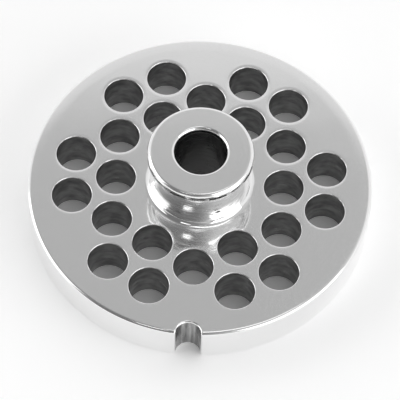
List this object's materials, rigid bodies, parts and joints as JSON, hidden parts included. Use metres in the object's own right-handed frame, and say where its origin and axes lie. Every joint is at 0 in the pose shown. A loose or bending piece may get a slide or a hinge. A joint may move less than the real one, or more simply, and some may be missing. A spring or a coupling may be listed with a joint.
{
  "type": "meat grinder plate",
  "caption": "Round steel meat grinder plate: a thick disc drilled through in a triangular pattern, with a waisted, lipped hub round its bore and a keying notch in the rim.",
  "frame": {"origin": "on the bore's axis, in the plane of the flat cutting face", "axes": "+Z along the bore towards the hub, the notch in the rim opens towards -Y"},
  "size_m": [0.07, 0.0699, 0.021],
  "materials": {
    "steel": "fine turned and polished, with broken bright edges"
  },
  "bodies": {
    "root": {"grinder_plate": "steel"}
  },
  "joints": []
}
